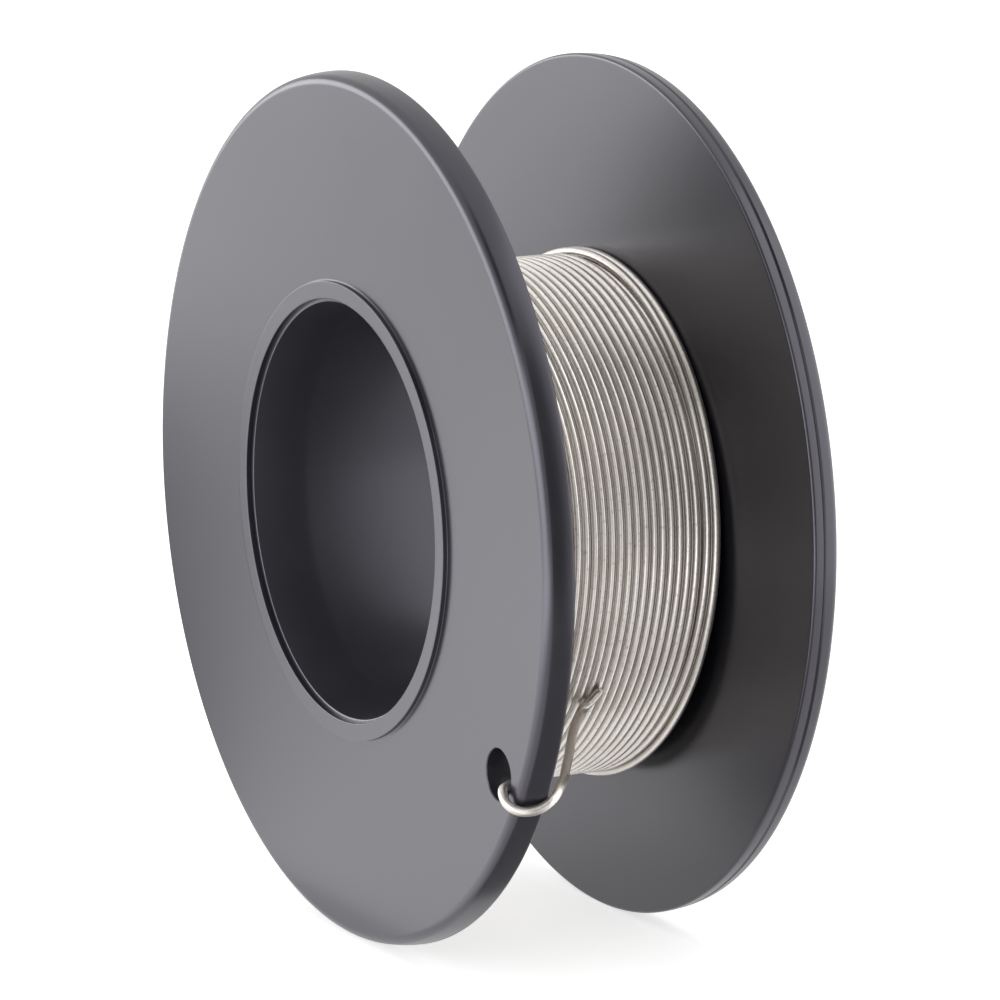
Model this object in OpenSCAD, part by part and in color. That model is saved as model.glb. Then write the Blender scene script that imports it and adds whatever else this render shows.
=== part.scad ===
// Wire spool for the electronics bench: two moulded flanges on a barrel tube,
// wound with one length of solder wire whose end is hooked through the front flange.
// The spool's axis lies along Y and the front flange faces -Y.

/* [Flanges] */
// Outside diameter of both flanges
flange_d = 63; // [58:0.5:80]
// Thickness of each flange
flange_t = 2.2; // [1.8:0.1:3.2]
// Radius that rounds a flange's rim towards its outside face
rim_round = 1.3; // [0.6:0.1:1.4]
// Radius that breaks the rim's edge towards the wire
rim_break = 0.25; // [0.1:0.05:0.35]
// Width of the parting groove round the rear flange's rim
groove_w = 0.3; // [0.15:0.05:0.4]
// Depth of the parting groove
groove_depth = 0.15; // [0.05:0.05:0.3]
// Radius out to which a flange's outside face is flat
flat_r = 23; // [18:0.5:26]
// Radius of the curve by which the face falls away beyond that
crown_r = 150; // [100:10:400]

/* [Hub] */
// Width of the spool over the outside faces of its flanges
spool_w = 23; // [18:0.5:32]
// Diameter of the bore through the barrel
bore_d = 29; // [24:0.5:32]
// Wall of the barrel tube
barrel_wall = 1.15; // [0.9:0.05:1.3]
// Chamfer at each end of the barrel's bore
barrel_chamfer = 0.15; // [0.05:0.05:0.3]
// Width of the barrel's end that shows inside the collar
ledge_w = 0.5; // [0.3:0.1:0.7]
// Radial width of the raised collar round the bore
collar_w = 1.4; // [1.1:0.1:2]
// Height of the collar above the flange's outside face
collar_rise = 0.35; // [0.2:0.05:0.6]
// Thickness of the lip that covers the barrel's end
lip_t = 0.5; // [0.3:0.1:0.8]
// Radius on the collar's edges
collar_break = 0.1; // [0.05:0.05:0.15]

/* [Tail hole] */
// Diameter of the hole that holds the wire's end
hole_d = 3.4; // [3.4:0.1:4.2]
// Distance from the rim to the middle of the hole
hole_edge = 3.5; // [3.2:0.1:3.5]
// Angle of the hole below the horizontal
hole_angle = 30.5; // [20:0.5:45]

/* [Winding] */
// Diameter of the solder wire
wire_d = 0.7; // [0.5:0.05:0.7]
// Least open space between neighbouring turns
turn_gap = 0.41; // [0.41:0.01:0.8]
// How far the loose coil hangs below the barrel's axis
coil_drop = 1.85; // [0:0.05:2.2]
// How far the top of the coil leans towards the rear flange
coil_lean = 0.6; // [0:0.1:0.8]
// Space between the leaning coil and each flange
coil_side_gap = 0.2; // [0.15:0.05:0.5]
// How far the first turns stand proud beside the rear flange
edge_rise = 0.35; // [0:0.05:0.5]

/* [Hidden] */
$fn = 96;

plastic_grey = [0.35, 0.345, 0.365];
barrel_grey = [0.31, 0.305, 0.325];
solder_silver = [0.80, 0.78, 0.74];

// Named clearances
// Barrel in a flange's socket, on the radius
socket_gap = 0.05;
// Coil over the top of the barrel
seat_gap = 0.08;
// Outer turns over the inner layer
layer_gap = 0.04;
// How far a cutter runs past what it cuts
cut_over = 1;

// Flanges and hub
flange_r = flange_d / 2;
bore_r = bore_d / 2;
barrel_r = bore_r + barrel_wall;
socket_r = barrel_r + socket_gap;
collar_in_r = bore_r + ledge_w;
collar_out_r = collar_in_r + collar_w;
barrel_len = spool_w + 2 * (collar_rise - lip_t);
inner_w = spool_w - 2 * flange_t;
arc_steps = 10;
crown_angle = asin((flange_r - rim_round - flat_r) / (crown_r - rim_round));
// Depth, from the outside face, at which the rim's rounding ends
round_end = crown_r - (crown_r - rim_round) * cos(crown_angle);

// Coil: the inner layer touches the top of the barrel and hangs below it
loop_rings = 24;
tube_sides = 6;
coil_w = inner_w - 2 * (coil_lean + coil_side_gap);
nest = wire_d * sqrt(3) / 2;
inner_layer_r = barrel_r + seat_gap + coil_drop;
// A straight-sided loop sags between its rings, so its corners lie a little further out
turn_r = (inner_layer_r + nest + layer_gap + wire_d / 2) / cos(90 / loop_rings);
layer_out_r = turn_r * cos(180 / loop_rings) - wire_d / 2 - layer_gap;
lean_angle = asin(coil_lean / turn_r);

// Outer layer: as many half turns as leave that open space between the tube's flat sides
half_turns = floor(2 * (coil_w - wire_d) / (wire_d * cos(180 / tube_sides) + turn_gap));
coil_turns = half_turns / 2;
pitch = (coil_w - wire_d) / coil_turns;
proud_turns = 1.5;
proud_ramp = 0.25;
coil_steps = coil_turns * loop_rings;
// Bend of wire from the inner layer up to the first turn
climb_bend = 8 * wire_d;
climb_angle = 48;

// Tail: from the coil's end through the hole, round the rim and back to rest on the coil
tail_sides = 8;
tail_steps = 3;
hole_r = flange_r - hole_edge;
// Hook, from the hole's middle: outwards, depth behind the front face, along the rim
hook_points = [[-0.2, flange_t + 1.1, 1.3], [0.7, flange_t + 0.5, 0.5],
               [1.1, flange_t - 0.5, 0.2], [1.2, 0.6, 0.1], [1.4, -0.2, 0],
               [2.0, -0.6, -0.1], [3.0, -0.6, -0.2], [3.8, 0, -0.2],
               [4.1, flange_t - 1.1, 0.1], [3.8, flange_t + 0.2, 0.6],
               [2.7, flange_t + 1.2, 0.8], [1.3, flange_t + 2.1, 0.5],
               [-0.3, flange_t + 3.1, 0.1], [-2.1, flange_t + 4.3, -0.6]];
// Tip, from the coil: height over its turns, depth behind the front face, angle below the hole
tip_points = [[2.4, 8.8, 0.5], [1.5, 9.8, 1.5], [0.9, 10.6, 1.5],
              [0.55, 11.2, 0.5], [0.45, 11.6, -1], [0.45, 11.9, -2.5]];
lead_steps = 4;

// Points of an arc about (x, y), from angle a to angle b
function arc(x, y, r, a, b) =
    [for (i = [0 : arc_steps]) let (q = a + (b - a) * i / arc_steps) [x + r * cos(q), y + r * sin(q)]];

function unit(v) = v / norm(v);

// Places the tail's points in the spool's frame
hole_out = [cos(hole_angle), 0, -sin(hole_angle)];
hole_up = [sin(hole_angle), 0, cos(hole_angle)];
function hook_at(p) = (hole_r + p[0]) * hole_out + p[2] * hole_up + [0, p[1] - spool_w / 2, 0];
function tip_at(p) = let (q = hole_angle + p[2], r = turn_r + wire_d / 2 + p[0])
    [r * cos(q), p[1] - spool_w / 2, -r * sin(q) - coil_drop];

// The wire leaves the coil where its tangent points at the hook's first point
hook_from_coil = hook_at(hook_points[0]) + [0, 0, coil_drop];
exit_angle = atan2(hook_from_coil[2], hook_from_coil[0])
    + acos(turn_r / norm([hook_from_coil[0], hook_from_coil[2]]));

// Turn number, counted from the rear flange, at which the coil is at step k
function turn_at(k) = k / loop_rings;
function angle_at(k) = exit_angle + 360 * (coil_turns - turn_at(k));
function smooth_step(x) = let (c = min(1, max(0, x))) c * c * (3 - 2 * c);
function rise_at(k) = edge_rise * (1 - smooth_step((turn_at(k) - proud_turns) / proud_ramp));

// Centre of the outer layer's wire at step k
function coil_centre(k) = let (q = angle_at(k), r = turn_r + rise_at(k))
    [r * cos(q),
     (coil_w - wire_d) / 2 - pitch * turn_at(k) + coil_lean * sin(q),
     r * sin(q) - coil_drop];
function coil_tangent(k) = unit(coil_centre(k + 0.02) - coil_centre(k - 0.02));
function radial_at(k) = [cos(angle_at(k)), 0, sin(angle_at(k))];

// Corners of one ring of a tube: centre c, direction t, with one corner towards u
function ring(c, t, u, d, sides) = let (v = unit(u - (u * t) * t), w = cross(t, v))
    [for (i = [0 : sides - 1]) c + d / 2 * (cos(360 * i / sides) * v + sin(360 * i / sides) * w)];

// Rings of the outer layer, with a straight end one wire diameter long on each side
coil_start = coil_centre(0) - wire_d * coil_tangent(0);
coil_end = coil_centre(coil_steps) + wire_d * coil_tangent(coil_steps);
coil_rings = concat(
    [ring(coil_start, coil_tangent(0), radial_at(0), wire_d, tube_sides)],
    [for (k = [0 : coil_steps]) ring(coil_centre(k), coil_tangent(k), radial_at(k), wire_d, tube_sides)],
    [ring(coil_end, coil_tangent(coil_steps), radial_at(coil_steps), wire_d, tube_sides)]);

// Least distance between a ring and the rings that lie one turn further on
function least_gap(rings) = min([for (i = [0 : len(rings) - loop_rings - 3])
    for (j = [i + loop_rings - 1 : i + loop_rings + 1])
        for (a = rings[i]) for (b = rings[j]) norm(a - b)]);

// Smooth curve through the tail's points
lead_end = hook_at(hook_points[0]);
tail_nodes = concat([for (i = [0 : lead_steps - 1]) coil_end + (lead_end - coil_end) * i / lead_steps],
                    [for (p = hook_points) hook_at(p)],
                    [for (p = tip_points) tip_at(p)]);
function knot(i) = i < 0 ? tail_nodes[0] - wire_d * 2 * coil_tangent(coil_steps)
    : i >= len(tail_nodes) ? 2 * tail_nodes[len(tail_nodes) - 1] - tail_nodes[len(tail_nodes) - 2]
    : tail_nodes[i];
function curve_at(i, x) = let (a = knot(i - 1), b = knot(i), c = knot(i + 1), e = knot(i + 2))
    0.5 * (2 * b + (c - a) * x + (2 * a - 5 * b + 4 * c - e) * x * x
           + (3 * b - a - 3 * c + e) * x * x * x);
tail_line = concat([for (i = [0 : len(tail_nodes) - 2]) for (s = [0 : tail_steps - 1])
                        curve_at(i, s / tail_steps)],
                   [tail_nodes[len(tail_nodes) - 1]]);
function tail_tangent(i) = i == 0 ? coil_tangent(coil_steps)
    : i == len(tail_line) - 1 ? unit(tail_line[i] - tail_line[i - 1])
    : unit(tail_line[i + 1] - tail_line[i - 1]);
// One side direction for each ring, carried along the line so that the tube doesn't twist
tail_sideways = [for (i = 0, u = radial_at(coil_steps); i < len(tail_line);
                      i = i + 1, u = unit(u - (u * tail_tangent(min(i, len(tail_line) - 1)))
                                              * tail_tangent(min(i, len(tail_line) - 1)))) u];
tail_rings = [for (i = [0 : len(tail_line) - 1])
                  ring(tail_line[i], tail_tangent(i), tail_sideways[i], wire_d, tail_sides)];

echo(str("outer layer: ", coil_turns, " turns, least gap ", least_gap(coil_rings), " mm"));

// A closed tube over rings of corners
module tube(rings) {
    sides = len(rings[0]);
    last = (len(rings) - 1) * sides;
    polyhedron(
        points = [for (r = rings) for (p = r) p],
        faces = concat(
            [for (i = [1 : sides - 2]) [0, i, i + 1]],
            [for (i = [1 : sides - 2]) [last, last + i + 1, last + i]],
            [for (j = [0 : len(rings) - 2]) for (i = [0 : sides - 1])
                [j * sides + i, (j + 1) * sides + i, j * sides + (i + 1) % sides]],
            [for (j = [0 : len(rings) - 2]) for (i = [0 : sides - 1])
                [j * sides + (i + 1) % sides, (j + 1) * sides + i, (j + 1) * sides + (i + 1) % sides]]),
        convexity = 10);
}

// Turns a profile drawn as radius and height about the spool's axis
module spin() {
    rotate([-90, 0, 0])
        rotate_extrude()
            children();
}

// Half section of a flange: radius against the depth from its outside face
module flange_section() {
    polygon(concat(
        [[socket_r, lip_t - collar_rise]],
        [[collar_in_r, lip_t - collar_rise]],
        arc(collar_in_r + collar_break, collar_break - collar_rise, collar_break, 180, 270),
        arc(collar_out_r - collar_break, collar_break - collar_rise, collar_break, 270, 360),
        [[collar_out_r, 0]],
        arc(flat_r, crown_r, crown_r, 270, 270 + crown_angle),
        arc(flange_r - rim_round, round_end, rim_round, 271 + crown_angle, 360),
        arc(flange_r - rim_break, flange_t - rim_break, rim_break, 0, 90),
        [[socket_r, flange_t]]));
}

module front_flange() {
    color(plastic_grey)
    difference() {
        translate([0, -spool_w / 2, 0])
            spin()
                flange_section();
        rotate([0, hole_angle, 0])
            translate([hole_r, -spool_w / 2 - cut_over, 0])
                rotate([-90, 0, 0])
                    cylinder(d = hole_d, h = flange_t + 2 * cut_over);
    }
}

module rear_flange() {
    color(plastic_grey)
    mirror([0, 1, 0])
    translate([0, -spool_w / 2, 0])
    spin()
    difference() {
        flange_section();
        polygon([[flange_r - groove_depth, round_end + groove_w / 2],
                 [flange_r + groove_depth, round_end - groove_w / 2],
                 [flange_r + groove_depth, round_end + groove_w * 3 / 2]]);
    }
}

module barrel() {
    color(barrel_grey)
    translate([0, -barrel_len / 2, 0])
    spin()
    polygon([[bore_r + barrel_chamfer, 0], [barrel_r, 0],
             [barrel_r, barrel_len], [bore_r + barrel_chamfer, barrel_len],
             [bore_r, barrel_len - barrel_chamfer], [bore_r, barrel_chamfer]]);
}

// Places its children at the coil's start, with +Z back along the wire and -X towards the barrel
module at_coil_start() {
    back = -coil_tangent(0);
    translate(coil_start)
        rotate([-asin(back[1]), atan2(back[0], back[2]), 0])
            children();
}

// The bend of wire that climbs from the inner layer to the first outer turn
module climb() {
    at_coil_start()
        translate([-climb_bend, 0, 0])
            rotate([90, 0, 0])
                rotate_extrude(angle = climb_angle)
                    translate([climb_bend, 0])
                        circle(d = wire_d);
}

module solder_inner_layer() {
    color(solder_silver) {
        translate([0, 0, -coil_drop])
            rotate([-lean_angle, 0, 0])
                translate([0, -coil_w / 2, 0])
                    spin()
                        translate([inner_layer_r, 0])
                            square([layer_out_r - inner_layer_r, coil_w]);
        climb();
    }
}

module solder_outer_layer() {
    color(solder_silver)
    tube(coil_rings);
}

module solder_tail() {
    color(solder_silver)
    tube(tail_rings);
}

front_flange();
rear_flange();
barrel();
solder_inner_layer();
solder_outer_layer();
solder_tail();
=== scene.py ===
import math

import bpy
import numpy as np
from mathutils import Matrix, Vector


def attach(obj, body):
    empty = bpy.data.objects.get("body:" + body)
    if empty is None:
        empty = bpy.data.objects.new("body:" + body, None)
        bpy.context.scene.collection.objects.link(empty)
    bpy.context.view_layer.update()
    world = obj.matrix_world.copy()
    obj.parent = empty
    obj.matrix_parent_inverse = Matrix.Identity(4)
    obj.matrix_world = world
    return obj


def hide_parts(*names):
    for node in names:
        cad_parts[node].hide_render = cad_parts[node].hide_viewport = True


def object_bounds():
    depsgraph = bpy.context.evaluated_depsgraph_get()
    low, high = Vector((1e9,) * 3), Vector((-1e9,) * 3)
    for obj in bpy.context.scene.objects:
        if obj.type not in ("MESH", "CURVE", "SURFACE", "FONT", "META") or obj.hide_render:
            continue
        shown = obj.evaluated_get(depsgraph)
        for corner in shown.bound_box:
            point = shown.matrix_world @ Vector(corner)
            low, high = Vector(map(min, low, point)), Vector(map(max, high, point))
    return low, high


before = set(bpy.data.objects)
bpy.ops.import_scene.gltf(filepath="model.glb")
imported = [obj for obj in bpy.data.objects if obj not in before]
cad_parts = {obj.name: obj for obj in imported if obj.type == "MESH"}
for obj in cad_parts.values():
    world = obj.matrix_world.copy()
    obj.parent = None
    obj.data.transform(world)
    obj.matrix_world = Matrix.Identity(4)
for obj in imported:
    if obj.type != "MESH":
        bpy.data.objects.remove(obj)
cad_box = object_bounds()


# Camera: a long lens a little above the spool, looking past the front flange at the winding.
# The frame is square, and the spool fills most of its height.
def add_object(name, data):
    """Puts a new object into the scene, at the origin."""
    made = bpy.data.objects.new(name, data)
    bpy.context.scene.collection.objects.link(made)
    return made


camera_data = bpy.data.cameras.new("camera")
camera_data.sensor_width = 36.0
camera_data.lens = 258.45
camera_data.clip_start = 0.01
camera_data.clip_end = 20.0
camera = add_object("camera", camera_data)
camera.location = (0.45259, -0.23382, 0.10437)
camera_aim = Vector((0.000530, 0.000904, -0.000273))
camera.rotation_euler = (camera_aim - camera.location).to_track_quat("-Z", "Y").to_euler()
bpy.context.scene.camera = camera
bpy.context.scene.view_settings.view_transform = "Standard"


# Studio: a pale floor that keeps the spool's soft shadow, in a white surround. A long soft box
# stands along the front and a weak one hangs overhead. Dark cloths and glowing papers round the
# spool show only in gloss, and draw the edges of the satin rims, the faces and the wire.
def node(tree, kind, inputs=None, **settings):
    """Adds a node. inputs maps a socket's name or number to a value or another node's output."""
    made = tree.nodes.new(kind)
    for name, value in settings.items():
        setattr(made, name, value)
    for key, value in (inputs or {}).items():
        if isinstance(value, bpy.types.NodeSocket):
            tree.links.new(value, made.inputs[key])
        else:
            made.inputs[key].default_value = value
    return made


def empty_tree(owner):
    """The node tree of a material or world, with nothing in it."""
    owner.use_nodes = True
    owner.node_tree.nodes.clear()
    return owner.node_tree


def seen_directly(tree):
    """1 for a ray from the camera, from a gloss or through glass, and 0 for one that lights."""
    path = node(tree, "ShaderNodeLightPath").outputs
    seen = node(tree, "ShaderNodeMath", {0: path["Is Camera Ray"], 1: path["Is Glossy Ray"]},
                operation="MAXIMUM")
    return node(tree, "ShaderNodeMath", {0: seen.outputs[0], 1: path["Is Transmission Ray"]},
                operation="MAXIMUM").outputs[0]


def stage_card(name, points, faces, material):
    mesh = bpy.data.meshes.new(name)
    mesh.from_pydata(points, [], faces)
    mesh.materials.append(material)
    made = add_object(name, mesh)
    return made


def flat_card(name, outline, height, material):
    points = [(x, y, height) for x, y in outline]
    return stage_card(name, points, [tuple(range(len(points)))], material)


floor_z, floor_reach, floor_glow = cad_box[0][2], 4, 0.66
floor_paint = bpy.data.materials.new("floor_paint")
tree = empty_tree(floor_paint)
paint = node(tree, "ShaderNodeBsdfDiffuse", {"Color": (0.8, 0.8, 0.8, 1.0)})
glow = node(tree, "ShaderNodeEmission", {"Strength": floor_glow})
lit_paint = node(tree, "ShaderNodeAddShader", {0: glow.outputs[0], 1: paint.outputs[0]})
shown = node(tree, "ShaderNodeMixShader", {0: seen_directly(tree), 1: paint.outputs[0],
                                           2: lit_paint.outputs[0]})
node(tree, "ShaderNodeOutputMaterial", {"Surface": shown.outputs[0]})
flat_card("floor", [(-floor_reach, -floor_reach), (floor_reach, -floor_reach),
                    (floor_reach, floor_reach), (-floor_reach, floor_reach)], floor_z, floor_paint)

surround = bpy.data.worlds.new("surround")
bpy.context.scene.world = surround
tree = empty_tree(surround)
soft = node(tree, "ShaderNodeBackground", {"Color": (1.0, 1.0, 1.0, 1.0), "Strength": 0.50})
white = node(tree, "ShaderNodeBackground", {"Color": (1.0, 1.0, 1.0, 1.0), "Strength": 1.0})
shown = node(tree, "ShaderNodeMixShader", {0: seen_directly(tree), 1: soft.outputs[0],
                                           2: white.outputs[0]})
node(tree, "ShaderNodeOutputWorld", {"Surface": shown.outputs[0]})

for name, place, size, watts, in_gloss in (
        ("soft_box_front", (-0.22, -0.46, 0.10), (1.40, 0.26), 3.7, True),
        ("soft_box_top", (0.10, 0.02, 0.55), (0.5, 0.5), 1.1, False)):
    lamp = bpy.data.lights.new(name, "AREA")
    lamp.shape = "RECTANGLE"
    lamp.size, lamp.size_y = size
    lamp.energy = watts
    soft_box = add_object(name, lamp)
    soft_box.location = place
    soft_box.rotation_euler = (-Vector(place)).to_track_quat("-Z", "Y").to_euler()
    soft_box.visible_glossy = in_gloss


def glowing(name, strength):
    """Cloth or paper that gives off an even light of that strength."""
    material = bpy.data.materials.new(name)
    tree = empty_tree(material)
    light = node(tree, "ShaderNodeEmission", {"Strength": strength})
    node(tree, "ShaderNodeOutputMaterial", {"Surface": light.outputs[0]})
    return material


card_radius, card_step = 0.13, 4


def curved_card(name, first, last, bottom, top, material):
    """A card that stands round the spool, from the first to the last azimuth in degrees."""
    turns = [math.radians(a) for a in range(first, last + 1, card_step)]
    points = [(card_radius * math.cos(a), card_radius * math.sin(a), z)
              for z in (bottom, top) for a in turns]
    count = len(turns)
    faces = [(k, k + 1, count + k + 1, count + k) for k in range(count - 1)]
    return stage_card(name, points, faces, material)


flag_cloth = glowing("flag_cloth", 0.04)
card_foot = floor_z + 0.001
side_flag = curved_card("side_flag", -12, 12, card_foot, 0.14, flag_cloth)
front_card = curved_card("front_card", -62, -46, -0.004, 0.075, glowing("front_glow", 3.4))
rear_card = curved_card("rear_card", 22, 86, card_foot, 0.30, glowing("rear_glow", 2.0))
top_flag = flat_card("top_flag", [(0.02, -0.13), (0.13, -0.13), (0.13, -0.02), (0.02, -0.02)],
                     0.15, flag_cloth)
floor_flag = flat_card("floor_flag", [(0.018, -0.014), (0.050, -0.016), (0.128, -0.016),
                                      (0.128, 0.028), (0.075, 0.022), (0.045, 0.010),
                                      (0.031, 0.004), (0.018, 0.000)],
                       floor_z + 0.0006, glowing("dark_floor", 0.38))

# The sheet in front is brightest near the spool's foot and darkens to the left, and a strip of
# it on the right lights the rim. Places on it are in metres.
sheet_paper = bpy.data.materials.new("sheet_paper")
sheet_tree = empty_tree(sheet_paper)
on_sheet = node(sheet_tree, "ShaderNodeTexCoord").outputs["Object"]
sheet_place = node(sheet_tree, "ShaderNodeSeparateXYZ", {0: on_sheet}).outputs
across_sheet = node(sheet_tree, "ShaderNodeVectorMath", {0: on_sheet, 1: (1.0, -1.933, 0.0)},
                    operation="DOT_PRODUCT").outputs["Value"]


def ramp(source, start, end, low, high):
    """Runs smoothly from low to high as the source goes from start to end."""
    return node(sheet_tree, "ShaderNodeMapRange",
                {"Value": source, "From Min": start, "From Max": end,
                 "To Min": low, "To Max": high},
                interpolation_type="SMOOTHSTEP").outputs["Result"]


def combine(operation, first, second):
    return node(sheet_tree, "ShaderNodeMath", {0: first, 1: second},
                operation=operation).outputs[0]


left_fall = combine("MAXIMUM", ramp(across_sheet, -0.030, 0.016, 0.0, 1.0),
                    ramp(sheet_place["X"], -0.185, -0.240, 0.0, 1.0))
level = combine("MULTIPLY", ramp(sheet_place["Y"], -0.150, -0.010, 2.65, 1.75), left_fall)
level = combine("MULTIPLY", level, ramp(sheet_place["Y"], -0.175, -0.125, 0.15, 1.0))
rim_glow = combine("MULTIPLY", ramp(sheet_place["X"], -0.13, 0.05, 0.0, 3.4),
                   ramp(sheet_place["Y"], -0.075, -0.135, 0.0, 1.0))
level = combine("ADD", level, rim_glow)
sheen = node(sheet_tree, "ShaderNodeEmission", {"Strength": level})
node(sheet_tree, "ShaderNodeOutputMaterial", {"Surface": sheen.outputs[0]})
front_sheet = flat_card("front_sheet", [(-0.40, -0.015), (-0.40, -0.42), (0.20, -0.42),
                                        (0.20, -0.10), (0.045, -0.050), (0.015, -0.015)],
                        floor_z + 0.0005, sheet_paper)
for card in (side_flag, front_card, rear_card, top_flag, floor_flag, front_sheet):
    card.visible_camera = False
    card.visible_diffuse = False
    card.visible_transmission = False
    card.visible_shadow = False


# Moulded plastic: near-black satin styrene. The group holds what all the mouldings share, which
# is a cloudy flow of pigment, a very fine mould grain and rubbed edges, and each material gives
# it its own values. The point attribute "edge" says where handling has polished a moulding.
skin = bpy.data.node_groups.new("moulded_skin", "ShaderNodeTree")
for way, kind, names in (("INPUT", "NodeSocketVector", ("Position",)),
                         ("INPUT", "NodeSocketColor", ("Deep", "Pale", "Rubbed")),
                         ("INPUT", "NodeSocketFloat", ("Edge", "Cloud Scale", "Grain Scale",
                                                       "Smooth", "Rough")),
                         ("OUTPUT", "NodeSocketColor", ("Color",)),
                         ("OUTPUT", "NodeSocketFloat", ("Roughness", "Height"))):
    for name in names:
        skin.interface.new_socket(name, in_out=way, socket_type=kind)
given = node(skin, "NodeGroupInput").outputs
cloud = node(skin, "ShaderNodeTexNoise", {"Vector": given["Position"],
                                          "Scale": given["Cloud Scale"], "Detail": 4.0})
grain = node(skin, "ShaderNodeTexNoise", {"Vector": given["Position"],
                                          "Scale": given["Grain Scale"], "Detail": 2.0})
rub_noise = node(skin, "ShaderNodeTexNoise", {"Vector": given["Position"], "Scale": 420.0,
                                              "Detail": 5.0})
rub = node(skin, "ShaderNodeMath", {0: given["Edge"], 1: rub_noise.outputs["Fac"]},
           operation="MULTIPLY")
flow = node(skin, "ShaderNodeMix", {"Factor": cloud.outputs["Fac"], "A": given["Deep"],
                                    "B": given["Pale"]}, data_type="RGBA")
worn = node(skin, "ShaderNodeMix", {"Factor": rub.outputs[0], "A": flow.outputs["Result"],
                                    "B": given["Rubbed"]}, data_type="RGBA")
satin = node(skin, "ShaderNodeMapRange", {"Value": cloud.outputs["Fac"],
                                          "To Min": given["Smooth"], "To Max": given["Rough"]})
node(skin, "NodeGroupOutput", {"Color": worn.outputs["Result"],
                               "Roughness": satin.outputs["Result"],
                               "Height": grain.outputs["Fac"]})


def moulded(name, deep, pale, rubbed, cloud_scale, smooth, rough):
    """A moulded plastic of its own colours and polish, with the shared skin."""
    material = bpy.data.materials.new(name)
    material.use_nodes = True
    tree = material.node_tree
    shader = tree.nodes["Principled BSDF"]
    shader.inputs["IOR"].default_value = 1.60
    shader.inputs["Specular IOR Level"].default_value = 0.65
    shader.inputs["Specular Tint"].default_value = (0.90, 0.87, 1.0, 1.0)
    where = node(tree, "ShaderNodeTexCoord")
    edge = node(tree, "ShaderNodeAttribute", attribute_name="edge")
    surface = node(tree, "ShaderNodeGroup", node_tree=skin)
    for key, value in (("Deep", (*deep, 1.0)), ("Pale", (*pale, 1.0)), ("Rubbed", (*rubbed, 1.0)),
                       ("Cloud Scale", cloud_scale), ("Grain Scale", 5200.0),
                       ("Smooth", smooth), ("Rough", rough)):
        surface.inputs[key].default_value = value
    tree.links.new(where.outputs["Object"], surface.inputs["Position"])
    tree.links.new(edge.outputs["Fac"], surface.inputs["Edge"])
    bump = node(tree, "ShaderNodeBump", {"Strength": 0.05, "Distance": 0.00002,
                                         "Height": surface.outputs["Height"]})
    tree.links.new(surface.outputs["Color"], shader.inputs["Base Color"])
    tree.links.new(surface.outputs["Roughness"], shader.inputs["Roughness"])
    tree.links.new(bump.outputs["Normal"], shader.inputs["Normal"])
    return material


flange_plastic = moulded("flange_plastic", deep=(0.0088, 0.0083, 0.0112),
                         pale=(0.0118, 0.0112, 0.0146), rubbed=(0.038, 0.036, 0.044),
                         cloud_scale=90.0, smooth=0.26, rough=0.32)
barrel_plastic = moulded("barrel_plastic", deep=(0.0225, 0.0215, 0.0265),
                         pale=(0.0300, 0.0288, 0.0350), rubbed=(0.050, 0.048, 0.056),
                         cloud_scale=150.0, smooth=0.27, rough=0.33)


# Flanges: two moulded discs, each pressed on one end of the barrel. Both have a raised collar
# round the bore, a flat outside face, a small shoulder and a rim with a long gentle draft. The
# front one has the hole for the wire's end, and the rear one a fine parting groove.
def arc(x, y, radius, start, end, steps):
    angles = np.radians(np.linspace(start, end, steps + 1))
    return [(x + radius * math.cos(a), y + radius * math.sin(a)) for a in angles]


def lathe(name, section, segments, edges, material):
    """Turns a closed section of (radius, depth) in mm about Y, with the point attribute edge."""
    points, faces = [], []
    count = len(section)
    for i in range(segments):
        a = 2 * math.pi * i / segments
        points += [(0.001 * r * math.cos(a), 0.001 * y, 0.001 * r * math.sin(a))
                   for r, y in section]
    for i in range(segments):
        j = (i + 1) % segments
        for k in range(count):
            m = (k + 1) % count
            faces.append((i * count + k, j * count + k, j * count + m, i * count + m))
    mesh = bpy.data.meshes.new(name)
    mesh.from_pydata(points, [], faces)
    layer = mesh.attributes.new("edge", "FLOAT", "POINT")
    layer.data.foreach_set("value", list(edges) * segments)
    mesh.materials.append(material)
    return add_object(name, mesh)


def keep_result(piece):
    """Makes what a piece's modifier gives its own plain mesh, and removes the modifier."""
    bpy.context.view_layer.update()
    graph = bpy.context.evaluated_depsgraph_get()
    made = bpy.data.meshes.new_from_object(piece.evaluated_get(graph),
                                           preserve_all_data_layers=True, depsgraph=graph)
    piece.modifiers.clear()
    piece.data = made


def shade_smooth(piece, crease):
    """Smooth faces, but for the edges sharper than that many degrees."""
    piece.data.polygons.foreach_set("use_smooth", [True] * len(piece.data.polygons))
    piece.data.set_sharp_from_angle(angle=math.radians(crease))


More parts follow.
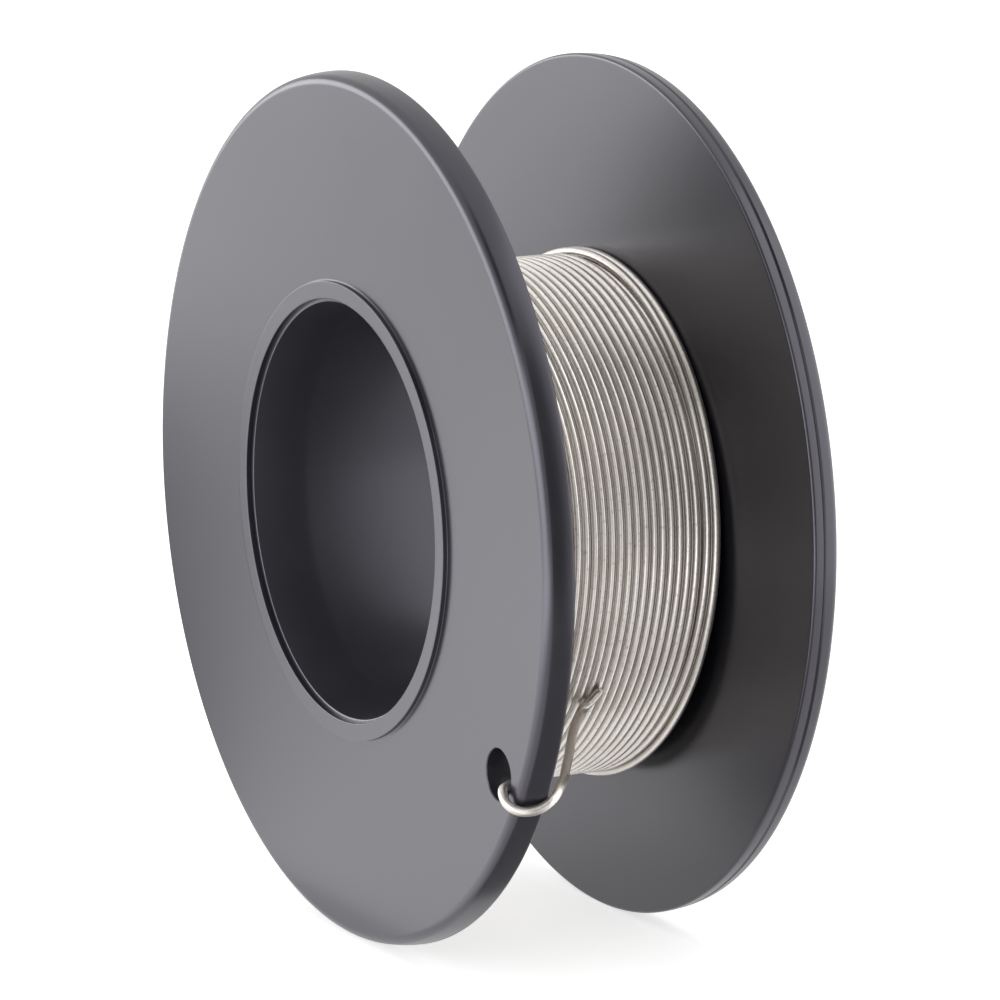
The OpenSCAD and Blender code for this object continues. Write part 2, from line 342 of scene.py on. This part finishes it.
def flange_section(groove):
    """The flange's section as (radius, depth from the outside face) in mm, and its worn edges."""
    flange_r, flange_t, edge_break = 31.5, 2.2, 0.22
    socket_r, opening_r, collar_r, collar_rise, lip = 15.7, 15.3, 16.57, 0.38, 0.08
    inner_round, outer_round = 0.06, 0.05
    shoulder, draft, turn_in = 0.75, 5.835, 76.0
    collar_wear, rim_wear = 0.6, 0.4
    lean_in = math.radians(turn_in)
    draft_end = flange_t - edge_break
    draft_start = draft_end - draft * math.cos(lean_in)
    shoulder_r = flange_r - draft * (1 - math.sin(lean_in)) - shoulder * math.sin(lean_in)

    def on_draft(depths):
        return [(flange_r - draft + math.sqrt(draft ** 2 - (draft_end - y) ** 2), y)
                for y in depths]

    section = [(socket_r, lip), (opening_r, lip)]
    collar_start = len(section)
    section += arc(opening_r + inner_round, inner_round - collar_rise, inner_round, 180, 270, 5)
    section += [(15.45, -collar_rise), (16.45, -collar_rise)]
    section += arc(collar_r - outer_round, outer_round - collar_rise, outer_round, 270, 360, 4)
    section += [(collar_r, -0.05), (16.59, -0.015), (16.63, 0.0)]
    collar_end = len(section)
    section += [(r, 0.0) for r in (16.75, 17.0, 19.0, 22.0, 25.0, 28.0, 29.6, shoulder_r - 0.08)]
    rim_start = len(section)
    section += arc(shoulder_r, shoulder, shoulder, 270, 270 + turn_in, 18)
    if groove:
        mouth, floor, end = 1.14, 1.28, 1.42
        wall_depth, floor_depth, wall_to_floor = 0.12, 0.15, 0.06
        section += on_draft(np.linspace(draft_start, mouth, 4)[1:])
        section += [(flange_r - wall_depth, floor - wall_to_floor), (flange_r - floor_depth, floor),
                    (flange_r - wall_depth, floor + wall_to_floor)]
        section += on_draft(np.linspace(end, draft_end, 6))
    else:
        section += on_draft(np.linspace(draft_start, draft_end, 9)[1:])
    section += arc(flange_r - edge_break, draft_end, edge_break, 0, 90, 7)[1:]
    rim_end = len(section)
    section += [(r, flange_t) for r in (31.2, 30.9, 29.0, 26.0, 22.0, 18.5, socket_r)]
    edges = [0.0] * len(section)
    edges[collar_start:collar_end] = [collar_wear] * (collar_end - collar_start)
    edges[rim_start:rim_end] = [rim_wear] * (rim_end - rim_start)
    return section, edges


half_width, flange_segments, mould_crease = 11.53, 288, 28
section, edges = flange_section(groove=False)
front_flange = lathe("front_flange_moulding", [(r, y - half_width) for r, y in section],
                     flange_segments, edges, flange_plastic)
section, edges = flange_section(groove=True)
rear_flange = lathe("rear_flange_moulding", [(r, half_width - y) for r, y in section],
                    flange_segments, edges, flange_plastic)

# The hole's drill, as rings of (depth, radius) in mm: it narrows a little from mouth to inside.
hole_rings = ((-14.0, 1.92), (-11.54, 1.92), (-11.46, 1.86), (-9.45, 1.62), (-9.32, 1.70),
              (-8.0, 1.70))
hole_angle, hole_reach, hole_sides = math.radians(-30.3), 28.1, 96
hole_x, hole_z = hole_reach * math.cos(hole_angle), hole_reach * math.sin(hole_angle)
drill_points, drill_faces = [], []
for y, radius in hole_rings:
    for i in range(hole_sides):
        a = 2 * math.pi * i / hole_sides
        drill_points.append((0.001 * (hole_x + radius * math.cos(a)), 0.001 * y,
                             0.001 * (hole_z + radius * math.sin(a))))
for ring_start in range(0, (len(hole_rings) - 1) * hole_sides, hole_sides):
    for i in range(hole_sides):
        j = (i + 1) % hole_sides
        drill_faces.append((ring_start + i, ring_start + hole_sides + i,
                            ring_start + hole_sides + j, ring_start + j))
last_point = len(drill_points) - 1
drill_faces += [tuple(range(hole_sides)),
                tuple(range(last_point, last_point - hole_sides, -1))]
drill_mesh = bpy.data.meshes.new("hole_drill")
drill_mesh.from_pydata(drill_points, [], drill_faces)
drill = add_object("hole_drill", drill_mesh)
for mesh in (front_flange.data, rear_flange.data, drill_mesh):
    mesh.validate()
cut = front_flange.modifiers.new("tail_hole", "BOOLEAN")
cut.operation = "DIFFERENCE"
cut.solver = "EXACT"
cut.object = drill
keep_result(front_flange)
bpy.data.objects.remove(drill)
for piece, name in ((front_flange, "front_flange"), (rear_flange, "rear_flange")):
    shade_smooth(piece, mould_crease)
    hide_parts(name)
    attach(piece, "root")


# Barrel: a plain moulded tube, pressed into both flanges, whose inside is the bore. The bore
# widens towards each end, and the tube's rounded lip shows as a narrow ledge inside the collar.
bore_r, barrel_r, barrel_segments, barrel_wear = 14.5, 15.65, 240, 0.15
flare, flare_start, flare_length, flare_power = 0.56, 7.4, 4.0, 1.3
barrel_end = [(bore_r + flare * ((y - flare_start) / flare_length) ** flare_power, y)
              for y in (7.6, 8.0, 8.6, 9.2, 9.8, 10.4, 11.0, 11.4)]
barrel_end += [(15.08, 11.42), (15.12, 11.44), (15.2, 11.45), (barrel_r, 11.45)]
barrel_section = [(r, -y) for r, y in barrel_end[::-1]]
barrel_section += [(bore_r, y) for y in (-7.2, -4.0, 0.0, 4.0, 7.2)]
barrel_section += barrel_end + [(barrel_r, 0.0)]
barrel = lathe("barrel_tube", barrel_section, barrel_segments,
               [barrel_wear] * len(barrel_section), barrel_plastic)
shade_smooth(barrel, mould_crease)
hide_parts("barrel")
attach(barrel, "root")


# Solder: soft bright drawn wire, with fine lines along it, dull specks and warm tarnish in patches.
# Painted shade darkens the wire's sides and its face towards the barrel, where turns lie together.
# Its UV map holds the way round, which starts on the side away from the barrel, and the length
# along it in millimetres.
solder = bpy.data.materials.new("solder_wire")
solder.use_nodes = True
tree = solder.node_tree
shader = tree.nodes["Principled BSDF"]
shader.inputs["Metallic"].default_value = 0.92
wire_map = node(tree, "ShaderNodeUVMap", uv_map="UVMap").outputs["UV"]
on_wire = node(tree, "ShaderNodeTexCoord").outputs["Object"]
stretch = node(tree, "ShaderNodeMapping", {"Vector": wire_map, "Scale": (14.0, 0.22, 1.0)})
lines = node(tree, "ShaderNodeTexNoise", {"Vector": stretch.outputs["Vector"], "Scale": 1.0,
                                          "Detail": 5.0}).outputs["Fac"]
patches = node(tree, "ShaderNodeTexNoise", {"Vector": on_wire, "Scale": 260.0, "Detail": 6.0})
specks = node(tree, "ShaderNodeTexNoise", {"Vector": on_wire, "Scale": 3400.0, "Detail": 2.0})
tarnish = node(tree, "ShaderNodeMapRange", {"Value": patches.outputs["Fac"], "From Min": 0.40,
                                            "From Max": 0.74})
tone = node(tree, "ShaderNodeMix", {"Factor": tarnish.outputs["Result"],
                                    "A": (0.95, 0.910, 0.858, 1.0),
                                    "B": (0.86, 0.810, 0.750, 1.0)}, data_type="RGBA")
speck = node(tree, "ShaderNodeMapRange", {"Value": specks.outputs["Fac"], "From Min": 0.56,
                                          "From Max": 0.80})
dulled = node(tree, "ShaderNodeMix", {"Factor": speck.outputs["Result"],
                                      "A": tone.outputs["Result"],
                                      "B": (0.60, 0.575, 0.545, 1.0)}, data_type="RGBA")
# Painted shade: the colour darkens as the way round turns from the outward side, standing in for
# the shade between touching turns.
way_round = node(tree, "ShaderNodeSeparateXYZ", {"Vector": wire_map})
turned = node(tree, "ShaderNodeMath", {0: way_round.outputs["X"], 1: 2 * math.pi},
              operation="MULTIPLY")
facing = node(tree, "ShaderNodeMath", {0: turned.outputs[0]}, operation="COSINE")
painted_shade_mask = node(tree, "ShaderNodeMapRange", {"Value": facing.outputs[0], "From Min": 0.80,
                                              "From Max": -0.10})
with_painted_shade = node(tree, "ShaderNodeMix", {"Factor": painted_shade_mask.outputs["Result"],
                                       "A": dulled.outputs["Result"],
                                       "B": (0.52, 0.475, 0.430, 1.0)}, data_type="RGBA")
tree.links.new(with_painted_shade.outputs["Result"], shader.inputs["Base Color"])
polish = node(tree, "ShaderNodeMapRange", {"Value": lines, "To Min": 0.31, "To Max": 0.38})
tree.links.new(polish.outputs["Result"], shader.inputs["Roughness"])
bump = node(tree, "ShaderNodeBump", {"Height": lines, "Strength": 0.04, "Distance": 0.00002})
tree.links.new(bump.outputs["Normal"], shader.inputs["Normal"])


# Winding: one wire in two layers, wound from the front flange to the rear one and back, loose on
# the barrel so that it hangs low. The outer turns at the rear flange ride up on the others.
# Geometry nodes lay the centre line, sweep it and store the map that the material reads.
wind = bpy.data.node_groups.new("wound_wire", "GeometryNodeTree")
wind.interface.new_socket("Geometry", in_out="OUTPUT", socket_type="NodeSocketGeometry")
for name, value in (("Lower Turns", 24.0), ("Outer Turns", 24.5), ("Steps per Turn", 120.0),
                    ("Radius", 0.01862), ("Layer Step", 0.00067), ("Pitch", 0.00068),
                    ("Start", 0.00889), ("Rear Limit", 0.00896), ("Exit Angle", 22.0),
                    ("Lean", 0.00072), ("Bow", 0.00030), ("Drop", 0.00190),
                    ("Proud Rise", 0.00036), ("Top Gap", 0.00032), ("Looseness", 0.00003),
                    ("Wire Diameter", 0.000675)):
    size = wind.interface.new_socket(name, in_out="INPUT", socket_type="NodeSocketFloat")
    size.default_value = value
wind.interface.new_socket("Material", in_out="INPUT", socket_type="NodeSocketMaterial")
given = node(wind, "NodeGroupInput").outputs


def calc(operation, *values):
    return node(wind, "ShaderNodeMath", dict(enumerate(values)), operation=operation).outputs[0]


def product(*values):
    result = values[0]
    for value in values[1:]:
        result = calc("MULTIPLY", result, value)
    return result


def ease(value, low, high):
    """Goes smoothly from 0 to 1 as the value goes from low to high."""
    return node(wind, "ShaderNodeMapRange", {"Value": value, "From Min": low, "From Max": high},
                interpolation_type="SMOOTHSTEP").outputs["Result"]


# Turns are counted from the rear flange, where the lower layer ends: its own are below zero.
steps = given["Steps per Turn"]
all_turns = calc("ADD", given["Lower Turns"], given["Outer Turns"])
point_count = node(wind, "FunctionNodeFloatToInt",
                   {0: calc("ADD", calc("MULTIPLY", all_turns, steps), 1.0)})
line = node(wind, "GeometryNodeMeshLine", {"Count": point_count.outputs[0]})
index = node(wind, "GeometryNodeInputIndex").outputs[0]
turn = calc("SUBTRACT", calc("DIVIDE", index, steps), given["Lower Turns"])
angle = calc("ADD", calc("RADIANS", given["Exit Angle"]),
             product(calc("SUBTRACT", given["Outer Turns"], turn), 2 * math.pi))
height = calc("SINE", angle)
proud = calc("SUBTRACT", 1.0, ease(turn, 1.50, 1.80))
lower = calc("SUBTRACT", 1.0, ease(turn, -0.22, 0.0))
unsteady = node(wind, "ShaderNodeTexNoise", {"W": turn, "Scale": 1.7, "Detail": 2.0},
                noise_dimensions="1D")
wave = product(calc("SUBTRACT", unsteady.outputs[0], 0.5), given["Looseness"])
reach = calc("ADD", calc("ADD", given["Radius"], wave), product(proud, given["Proud Rise"]))
reach = calc("SUBTRACT", reach, product(lower, given["Layer Step"]))
across = calc("SUBTRACT", given["Start"], product(calc("ABSOLUTE", turn), given["Pitch"]))
across = calc("ADD", calc("ADD", across, wave), product(height, given["Lean"]))
across = calc("SUBTRACT", across, product(height, height, given["Bow"]))
gap = product(ease(turn, 1.85, 2.1), ease(height, 0.45, 0.95), given["Top Gap"])
across = calc("MINIMUM", calc("SUBTRACT", across, gap), given["Rear Limit"])
place = node(wind, "ShaderNodeCombineXYZ",
             {"X": product(reach, calc("COSINE", angle)), "Y": across,
              "Z": calc("SUBTRACT", product(reach, height), given["Drop"])})
outward = node(wind, "ShaderNodeCombineXYZ", {"X": calc("COSINE", angle), "Z": height})
lay = node(wind, "GeometryNodeSetPosition", {"Geometry": line.outputs["Mesh"],
                                             "Position": place.outputs[0]})
keep_outward = node(wind, "GeometryNodeCaptureAttribute", domain="POINT")
keep_outward.capture_items.new("VECTOR", "outward")
wind.links.new(lay.outputs["Geometry"], keep_outward.inputs["Geometry"])
wind.links.new(outward.outputs[0], keep_outward.inputs["outward"])
to_curve = node(wind, "GeometryNodeMeshToCurve", {"Mesh": keep_outward.outputs["Geometry"]})
normals = node(wind, "GeometryNodeSetCurveNormal", mode="FREE")
wind.links.new(to_curve.outputs["Curve"], normals.inputs["Curve"])
wind.links.new(keep_outward.outputs["outward"], normals.inputs["Normal"])
along = node(wind, "GeometryNodeSplineParameter")
keep_along = node(wind, "GeometryNodeCaptureAttribute", {"Geometry": normals.outputs["Curve"]})
keep_along.capture_items.new("FLOAT", "along")
wind.links.new(product(along.outputs["Length"], 1000.0), keep_along.inputs["along"])
ring = node(wind, "GeometryNodeCurvePrimitiveCircle",
            {"Resolution": 16, "Radius": product(given["Wire Diameter"], 0.5)})
round_way = node(wind, "GeometryNodeSplineParameter")
keep_round = node(wind, "GeometryNodeCaptureAttribute", {"Geometry": ring.outputs["Curve"]})
keep_round.capture_items.new("FLOAT", "round")
wind.links.new(round_way.outputs["Factor"], keep_round.inputs["round"])
sweep = node(wind, "GeometryNodeCurveToMesh",
             {"Curve": keep_along.outputs["Geometry"],
              "Profile Curve": keep_round.outputs["Geometry"], "Fill Caps": True})
wire_uv = node(wind, "ShaderNodeCombineXYZ", {"X": keep_round.outputs["round"],
                                              "Y": keep_along.outputs["along"]})
store = node(wind, "GeometryNodeStoreNamedAttribute",
             {"Geometry": sweep.outputs["Mesh"], "Name": "UVMap"},
             data_type="FLOAT2", domain="CORNER")
wind.links.new(wire_uv.outputs[0],
               next(i for i in store.inputs if i.name == "Value" and i.enabled))
whole = node(wind, "GeometryNodeRealizeInstances", {"Geometry": store.outputs["Geometry"]})
coat = node(wind, "GeometryNodeSetMaterial", {"Geometry": whole.outputs["Geometry"],
                                              "Material": given["Material"]})
node(wind, "NodeGroupOutput", {"Geometry": coat.outputs["Geometry"]})

wire_crease = 50
winding = add_object("solder_winding", bpy.data.meshes.new("solder_winding"))
winder = winding.modifiers.new("wound_wire", "NODES")
winder.node_group = wind
for item in wind.interface.items_tree:
    if item.in_out == "INPUT" and item.name == "Material":
        winder[item.identifier] = solder
keep_result(winding)
shade_smooth(winding, wire_crease)
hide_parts("solder_inner_layer", "solder_outer_layer")
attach(winding, "root")


# Wire's end: straight off the coil to the hole, out through the front flange, bent round its rim
# and laid back on the coil. It is held by that hook alone, and the cutters pinched its tip.
# Its points and sizes are in mm.
wire_r, sides, knot_steps = 0.34, 20, 12
exit_angle, last_turn_r, coil_drop = math.radians(22.0), 18.55, 1.85
coil_point = (last_turn_r * math.cos(exit_angle), -7.67,
              last_turn_r * math.sin(exit_angle) - coil_drop)
route = [coil_point, (19.4, -7.90, -0.20), (21.2, -8.05, -4.6), (23.0, -8.10, -9.0),
         (24.2, -8.20, -11.9), (24.8, -8.5, -13.3), (25.1, -9.3, -14.25), (25.2, -10.3, -14.60),
         (25.27, -11.15, -14.72), (25.42, -11.72, -14.86), (25.80, -12.00, -15.13),
         (26.51, -12.02, -15.72), (27.12, -11.55, -16.10), (27.50, -10.80, -16.17),
         (27.62, -9.97, -15.99), (27.52, -8.99, -15.47), (26.90, -8.12, -14.92),
         (25.78, -7.21, -14.56), (24.19, -6.21, -14.30), (22.14, -4.89, -13.96),
         (20.24, -3.72, -13.57), (18.29, -2.45, -13.18), (17.20, -1.58, -12.80),
         (16.50, -0.85, -12.38), (16.44, -0.24, -11.89), (16.74, 0.12, -11.34),
         (16.99, 0.40, -10.94)]
knots = [np.array(p) for p in route]
knots = [2 * knots[0] - knots[1]] + knots + [2 * knots[-1] - knots[-2]]
centre = []
for i in range(1, len(knots) - 2):
    a, b, c, d = knots[i - 1:i + 3]
    spans = [np.linalg.norm(q - p) ** 0.5 for p, q in ((a, b), (b, c), (c, d))]
    t0, t1 = 0.0, spans[0]
    t2, t3 = t1 + spans[1], t1 + spans[1] + spans[2]
    for t in np.linspace(t1, t2, knot_steps + 1)[:-1]:
        ab = (t1 - t) / (t1 - t0) * a + (t - t0) / (t1 - t0) * b
        bc = (t2 - t) / (t2 - t1) * b + (t - t1) / (t2 - t1) * c
        cd = (t3 - t) / (t3 - t2) * c + (t - t2) / (t3 - t2) * d
        abc = (t2 - t) / (t2 - t0) * ab + (t - t0) / (t2 - t0) * bc
        bcd = (t3 - t) / (t3 - t1) * bc + (t - t1) / (t3 - t1) * cd
        centre.append((t2 - t) / (t2 - t1) * abc + (t - t1) / (t2 - t1) * bcd)
centre.append(knots[-2])
centre = np.array(centre)
heading = np.gradient(centre, axis=0)
heading /= np.linalg.norm(heading, axis=1)[:, None]
travel = np.concatenate([[0.0], np.cumsum(np.linalg.norm(np.diff(centre, axis=0), axis=1))])

# The map's way round starts on the side away from the coil, and it places the wire's painted shade.
# On the way back from the hook that is another side of the wire, found at ring way_back, and the
# map turns to it along the hook.
way_back, map_turn_start, map_turn_rings = 18 * knot_steps, 140, 60
pinch_depth, pinch_length, pinch_power = 0.40, 0.30, 1.5
up = np.array((math.cos(exit_angle), 0.0, math.sin(exit_angle)))
points, faces, maps = [], [], []
for i in range(len(centre)):
    up = up - heading[i] * up.dot(heading[i])
    up /= np.linalg.norm(up)
    beside = np.cross(heading[i], up)
    if i == way_back:
        away = np.array((centre[i][0], 0.0, centre[i][2] + coil_drop))
        map_turn = math.atan2(away.dot(beside), away.dot(up)) / (2 * math.pi)
    to_tip = travel[-1] - travel[i]
    pinch = 1.0 - pinch_depth * max(0.0, 1.0 - to_tip / pinch_length) ** pinch_power
    for k in range(sides):
        a = 2 * math.pi * k / sides
        rim = wire_r * (math.cos(a) * pinch * up + math.sin(a) * beside)
        points.append((centre[i] + rim) * 0.001)
for i in range(len(centre) - 1):
    here, there = [map_turn * min(1.0, max(0.0, (j - map_turn_start) / map_turn_rings))
                   for j in (i, i + 1)]
    for k in range(sides):
        m = (k + 1) % sides
        faces.append((i * sides + k, i * sides + m, (i + 1) * sides + m, (i + 1) * sides + k))
        maps += [(k / sides - here, travel[i]), ((k + 1) / sides - here, travel[i]),
                 ((k + 1) / sides - there, travel[i + 1]), (k / sides - there, travel[i + 1])]
last = (len(centre) - 1) * sides
faces += [tuple(range(sides - 1, -1, -1)), tuple(range(last, last + sides))]
maps += [(0.0, 0.0)] * (2 * sides)
tail_mesh = bpy.data.meshes.new("solder_end")
tail_mesh.from_pydata([tuple(p) for p in points], [], faces)
uv = tail_mesh.uv_layers.new(name="UVMap")
uv.data.foreach_set("uv", [x for pair in maps for x in pair])
tail_mesh.materials.append(solder)
tail = add_object("solder_end", tail_mesh)
shade_smooth(tail, wire_crease)
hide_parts("solder_tail")
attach(tail, "root")
